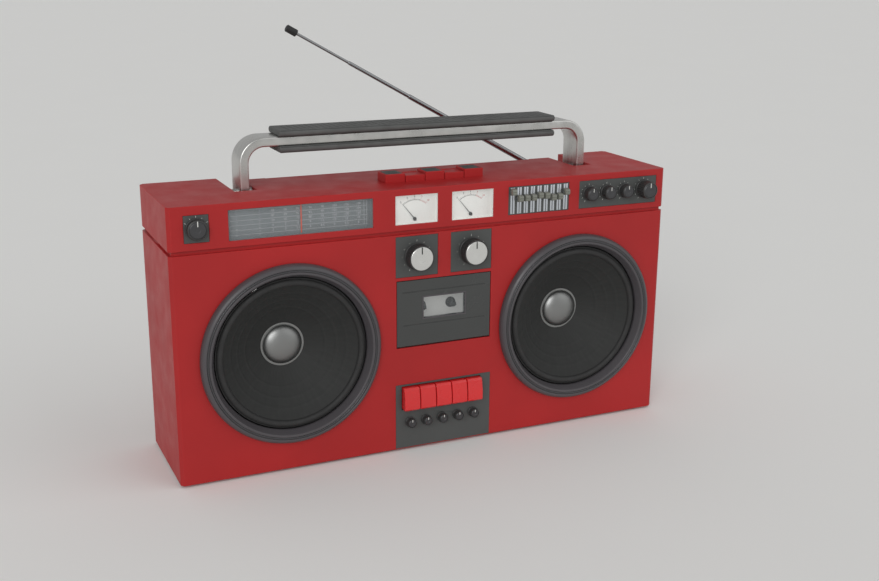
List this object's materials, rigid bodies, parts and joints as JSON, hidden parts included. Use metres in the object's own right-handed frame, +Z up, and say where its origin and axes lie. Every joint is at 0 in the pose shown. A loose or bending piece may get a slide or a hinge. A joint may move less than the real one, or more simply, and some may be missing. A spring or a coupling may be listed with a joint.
{
  "type": "boombox",
  "caption": "Portable stereo cassette radio with large woofers, a cassette deck, a band of dials, sliders and knobs, a folding bail handle and a telescopic rod antenna.",
  "frame": {"origin": "on the floor, under the middle of the cabinet", "axes": "+X to the listener's right along the front, +Y into the back, +Z up"},
  "size_m": [0.68, 0.1994, 0.5395],
  "materials": {
    "cabinet_red": "fine-grained moulding",
    "inlay_grey": "satin",
    "dial_grey": "printed",
    "window_clear": "clear",
    "rim_black": "polished",
    "driver_steel": "plated",
    "deck_grey": "satin",
    "board_green": "lacquered",
    "cell_blue": "wrapped",
    "foot_rubber": "matt",
    "screw_steel": "plated",
    "cone_paper": "pressed pulp",
    "door_dark": "smoked",
    "reel_white": "satin",
    "pointer_red": "painted",
    "knob_grey": "satin, fluted",
    "key_red": "polished",
    "slider_grey": "satin",
    "handle_silver": "satin",
    "grip_grey": "ribbed",
    "antenna_chrome": "bright"
  },
  "bodies": {
    "cabinet": {"lower_front_cabinet": "cabinet_red", "lower_rear_cabinet": "cabinet_red", "control_housing": "cabinet_red", "fascia_plates": "inlay_grey", "dial_faces": "dial_grey", "clear_windows": "window_clear", "speaker_rims": "rim_black", "speaker_drivers": "driver_steel", "tape_deck": "deck_grey", "main_board": "board_green", "batteries": "cell_blue", "feet": "foot_rubber", "fasteners": "screw_steel"},
    "battery_cover": {"battery_cover": "cabinet_red"},
    "cone_left": {"cone_left": "cone_paper"},
    "cone_right": {"cone_right": "cone_paper"},
    "cassette_door": {"cassette_door": "door_dark"},
    "reel_left": {"reel_left": "reel_white"},
    "reel_right": {"reel_right": "reel_white"},
    "tuning_pointer": {"tuning_pointer": "pointer_red"},
    "needle_left": {"needle_left": "pointer_red"},
    "needle_right": {"needle_right": "pointer_red"},
    "function_knob": {"function_knob": "knob_grey"},
    "volume_knob": {"volume_knob": "knob_grey"},
    "tuning_knob": {"tuning_knob": "knob_grey"},
    "tone_knob_1": {"tone_knob_1": "knob_grey"},
    "tone_knob_2": {"tone_knob_2": "knob_grey"},
    "tone_knob_3": {"tone_knob_3": "knob_grey"},
    "balance_knob": {"balance_knob": "knob_grey"},
    "trim_knob_1": {"trim_knob_1": "knob_grey"},
    "trim_knob_2": {"trim_knob_2": "knob_grey"},
    "trim_knob_3": {"trim_knob_3": "knob_grey"},
    "trim_knob_4": {"trim_knob_4": "knob_grey"},
    "trim_knob_5": {"trim_knob_5": "knob_grey"},
    "tape_key_1": {"tape_key_1": "key_red"},
    "tape_key_2": {"tape_key_2": "key_red"},
    "tape_key_3": {"tape_key_3": "key_red"},
    "tape_key_4": {"tape_key_4": "key_red"},
    "tape_key_5": {"tape_key_5": "key_red"},
    "deck_key_1": {"deck_key_1": "cabinet_red"},
    "deck_key_2": {"deck_key_2": "cabinet_red"},
    "deck_key_3": {"deck_key_3": "cabinet_red"},
    "deck_key_4": {"deck_key_4": "cabinet_red"},
    "deck_key_5": {"deck_key_5": "cabinet_red"},
    "eq_slider_1": {"eq_slider_1": "slider_grey"},
    "eq_slider_2": {"eq_slider_2": "slider_grey"},
    "eq_slider_3": {"eq_slider_3": "slider_grey"},
    "eq_slider_4": {"eq_slider_4": "slider_grey"},
    "eq_slider_5": {"eq_slider_5": "slider_grey"},
    "eq_slider_6": {"eq_slider_6": "slider_grey"},
    "eq_slider_7": {"eq_slider_7": "slider_grey"},
    "eq_slider_8": {"eq_slider_8": "slider_grey"},
    "eq_slider_9": {"eq_slider_9": "slider_grey"},
    "handle": {"handle_bail": "handle_silver", "handle_grips": "grip_grey"},
    "antenna_swivel": {"antenna_swivel": "antenna_chrome"},
    "antenna_tube": {"antenna_tube": "antenna_chrome"},
    "antenna_section_2": {"antenna_section_2": "antenna_chrome"},
    "antenna_section_3": {"antenna_section_3": "antenna_chrome"},
    "antenna_tip": {"antenna_tip": "antenna_chrome"}
  },
  "joints": [
    {"name": "handle_fold", "type": "hinge", "parent": "cabinet", "child": "handle", "pos_m": [0.01, 0.012, 0.343], "axis": [-1, 0, 0], "range_deg": [0, 90]},
    {"name": "antenna_swing", "type": "hinge", "parent": "cabinet", "child": "antenna_swivel", "pos_m": [0.278, 0.097, 0.305], "axis": [0, 1, 0], "range_deg": [-29, 121]},
    {"name": "antenna_tilt", "type": "hinge", "parent": "antenna_swivel", "child": "antenna_tube", "pos_m": [0.278, 0.097, 0.305], "axis": [-0.4848, 0, -0.8746], "range_deg": [0, 80]},
    {"name": "antenna_section_2_slide", "type": "slide", "parent": "antenna_tube", "child": "antenna_section_2", "axis": [-0.8746, 0, 0.4848], "range_m": [-0.09, 0]},
    {"name": "antenna_section_3_slide", "type": "slide", "parent": "antenna_section_2", "child": "antenna_section_3", "axis": [-0.8746, 0, 0.4848], "range_m": [-0.096, 0]},
    {"name": "antenna_tip_slide", "type": "slide", "parent": "antenna_section_3", "child": "antenna_tip", "axis": [-0.8746, 0, 0.4848], "range_m": [-0.08, 0]},
    {"name": "cassette_door_hinge", "type": "hinge", "parent": "cabinet", "child": "cassette_door", "pos_m": [0.01, -0.075, 0.1455], "axis": [1, 0, 0], "range_deg": [0, 30]},
    {"name": "battery_cover_slide", "type": "slide", "parent": "cabinet", "child": "battery_cover", "axis": [0, 1, 0], "range_m": [0, 0.03]},
    {"name": "cone_left_travel", "type": "slide", "parent": "cabinet", "child": "cone_left", "axis": [0, 1, 0], "range_m": [-0.004, 0.004], "stiffness_N_per_m": 2000},
    {"name": "cone_right_travel", "type": "slide", "parent": "cabinet", "child": "cone_right", "axis": [0, 1, 0], "range_m": [-0.004, 0.004], "stiffness_N_per_m": 2000},
    {"name": "tuning_knob_turn", "type": "hinge", "parent": "cabinet", "child": "tuning_knob", "pos_m": [0.0475, -0.0785, 0.262], "axis": [0, 1, 0], "range_deg": [-540, 540]},
    {"name": "tuning_pointer_slide", "type": "slide", "parent": "cabinet", "child": "tuning_pointer", "axis": [1, 0, 0], "range_m": [-0.08, 0.08]},
    {"name": "volume_knob_turn", "type": "hinge", "parent": "cabinet", "child": "volume_knob", "pos_m": [-0.0285, -0.0785, 0.262], "axis": [0, 1, 0], "range_deg": [-150, 150]},
    {"name": "function_knob_turn", "type": "hinge", "parent": "cabinet", "child": "function_knob", "pos_m": [-0.306, -0.0785, 0.3215], "axis": [0, 1, 0], "range_deg": [-60, 60]},
    {"name": "needle_left_swing", "type": "hinge", "parent": "cabinet", "child": "needle_left", "pos_m": [-0.0285, -0.0711, 0.3085], "axis": [0, 1, 0], "range_deg": [0, 80], "stiffness_Nm_per_rad": 0.001},
    {"name": "needle_right_swing", "type": "hinge", "parent": "cabinet", "child": "needle_right", "pos_m": [0.04925, -0.0711, 0.3085], "axis": [0, 1, 0], "range_deg": [0, 80], "stiffness_Nm_per_rad": 0.001},
    {"name": "reel_left_spin", "type": "hinge", "parent": "cabinet", "child": "reel_left", "pos_m": [-0.01125, -0.0555, 0.1875], "axis": [0, 1, 0], "continuous": true},
    {"name": "reel_right_spin", "type": "hinge", "parent": "cabinet", "child": "reel_right", "pos_m": [0.03125, -0.0555, 0.1875], "axis": [0, 1, 0], "continuous": true},
    {"name": "deck_key_1_press", "type": "slide", "parent": "cabinet", "child": "deck_key_1", "axis": [0, 0, -1], "range_m": [0, 0.004], "stiffness_N_per_m": 300, "springref_m": -0.003},
    {"name": "deck_key_2_press", "type": "slide", "parent": "cabinet", "child": "deck_key_2", "axis": [0, 0, -1], "range_m": [0, 0.004], "stiffness_N_per_m": 300, "springref_m": -0.003},
    {"name": "deck_key_3_press", "type": "slide", "parent": "cabinet", "child": "deck_key_3", "axis": [0, 0, -1], "range_m": [0, 0.004], "stiffness_N_per_m": 300, "springref_m": -0.003},
    {"name": "deck_key_4_press", "type": "slide", "parent": "cabinet", "child": "deck_key_4", "axis": [0, 0, -1], "range_m": [0, 0.004], "stiffness_N_per_m": 300, "springref_m": -0.003},
    {"name": "deck_key_5_press", "type": "slide", "parent": "cabinet", "child": "deck_key_5", "axis": [0, 0, -1], "range_m": [0, 0.004], "stiffness_N_per_m": 300, "springref_m": -0.003},
    {"name": "tape_key_1_press", "type": "slide", "parent": "cabinet", "child": "tape_key_1", "axis": [0, 1, 0], "range_m": [0, 0.005], "stiffness_N_per_m": 250, "springref_m": -0.002},
    {"name": "tape_key_2_press", "type": "slide", "parent": "cabinet", "child": "tape_key_2", "axis": [0, 1, 0], "range_m": [0, 0.005], "stiffness_N_per_m": 250, "springref_m": -0.002},
    {"name": "tape_key_3_press", "type": "slide", "parent": "cabinet", "child": "tape_key_3", "axis": [0, 1, 0], "range_m": [0, 0.005], "stiffness_N_per_m": 250, "springref_m": -0.002},
    {"name": "tape_key_4_press", "type": "slide", "parent": "cabinet", "child": "tape_key_4", "axis": [0, 1, 0], "range_m": [0, 0.005], "stiffness_N_per_m": 250, "springref_m": -0.002},
    {"name": "tape_key_5_press", "type": "slide", "parent": "cabinet", "child": "tape_key_5", "axis": [0, 1, 0], "range_m": [0, 0.005], "stiffness_N_per_m": 250, "springref_m": -0.002},
    {"name": "eq_slider_1_slide", "type": "slide", "parent": "cabinet", "child": "eq_slider_1", "axis": [0, 0, 1], "range_m": [-0.024, 0]},
    {"name": "eq_slider_2_slide", "type": "slide", "parent": "cabinet", "child": "eq_slider_2", "axis": [0, 0, 1], "range_m": [-0.015, 0.009]},
    {"name": "eq_slider_3_slide", "type": "slide", "parent": "cabinet", "child": "eq_slider_3", "axis": [0, 0, 1], "range_m": [-0.015, 0.009]},
    {"name": "eq_slider_4_slide", "type": "slide", "parent": "cabinet", "child": "eq_slider_4", "axis": [0, 0, 1], "range_m": [-0.015, 0.009]},
    {"name": "eq_slider_5_slide", "type": "slide", "parent": "cabinet", "child": "eq_slider_5", "axis": [0, 0, 1], "range_m": [-0.017, 0.007]},
    {"name": "eq_slider_6_slide", "type": "slide", "parent": "cabinet", "child": "eq_slider_6", "axis": [0, 0, 1], "range_m": [-0.016, 0.008]},
    {"name": "eq_slider_7_slide", "type": "slide", "parent": "cabinet", "child": "eq_slider_7", "axis": [0, 0, 1], "range_m": [-0.013, 0.011]},
    {"name": "eq_slider_8_slide", "type": "slide", "parent": "cabinet", "child": "eq_slider_8", "axis": [0, 0, 1], "range_m": [-0.0135, 0.0105]},
    {"name": "eq_slider_9_slide", "type": "slide", "parent": "cabinet", "child": "eq_slider_9", "axis": [0, 0, 1], "range_m": [-0.019, 0.005]},
    {"name": "tone_knob_1_turn", "type": "hinge", "parent": "cabinet", "child": "tone_knob_1", "pos_m": [0.2205, -0.0785, 0.3235], "axis": [0, 1, 0], "range_deg": [-150, 150]},
    {"name": "tone_knob_2_turn", "type": "hinge", "parent": "cabinet", "child": "tone_knob_2", "pos_m": [0.248, -0.0785, 0.3235], "axis": [0, 1, 0], "range_deg": [-150, 150]},
    {"name": "tone_knob_3_turn", "type": "hinge", "parent": "cabinet", "child": "tone_knob_3", "pos_m": [0.2755, -0.0785, 0.3235], "axis": [0, 1, 0], "range_deg": [-150, 150]},
    {"name": "balance_knob_turn", "type": "hinge", "parent": "cabinet", "child": "balance_knob", "pos_m": [0.306, -0.0785, 0.3235], "axis": [0, 1, 0], "range_deg": [-150, 150]},
    {"name": "trim_knob_1_turn", "type": "hinge", "parent": "cabinet", "child": "trim_knob_1", "pos_m": [-0.0382, -0.0785, 0.0395], "axis": [0, 1, 0], "range_deg": [-150, 150]},
    {"name": "trim_knob_2_turn", "type": "hinge", "parent": "cabinet", "child": "trim_knob_2", "pos_m": [-0.0156, -0.0785, 0.0395], "axis": [0, 1, 0], "range_deg": [-150, 150]},
    {"name": "trim_knob_3_turn", "type": "hinge", "parent": "cabinet", "child": "trim_knob_3", "pos_m": [0.007, -0.0785, 0.0395], "axis": [0, 1, 0], "range_deg": [-150, 150]},
    {"name": "trim_knob_4_turn", "type": "hinge", "parent": "cabinet", "child": "trim_knob_4", "pos_m": [0.0296, -0.0785, 0.0395], "axis": [0, 1, 0], "range_deg": [-150, 150]},
    {"name": "trim_knob_5_turn", "type": "hinge", "parent": "cabinet", "child": "trim_knob_5", "pos_m": [0.0522, -0.0785, 0.0395], "axis": [0, 1, 0], "range_deg": [-150, 150]}
  ],
  "couplings": [
    {"joint": "tuning_pointer_slide", "follows": "tuning_knob_turn", "m_per_rad": 0.008}
  ]
}
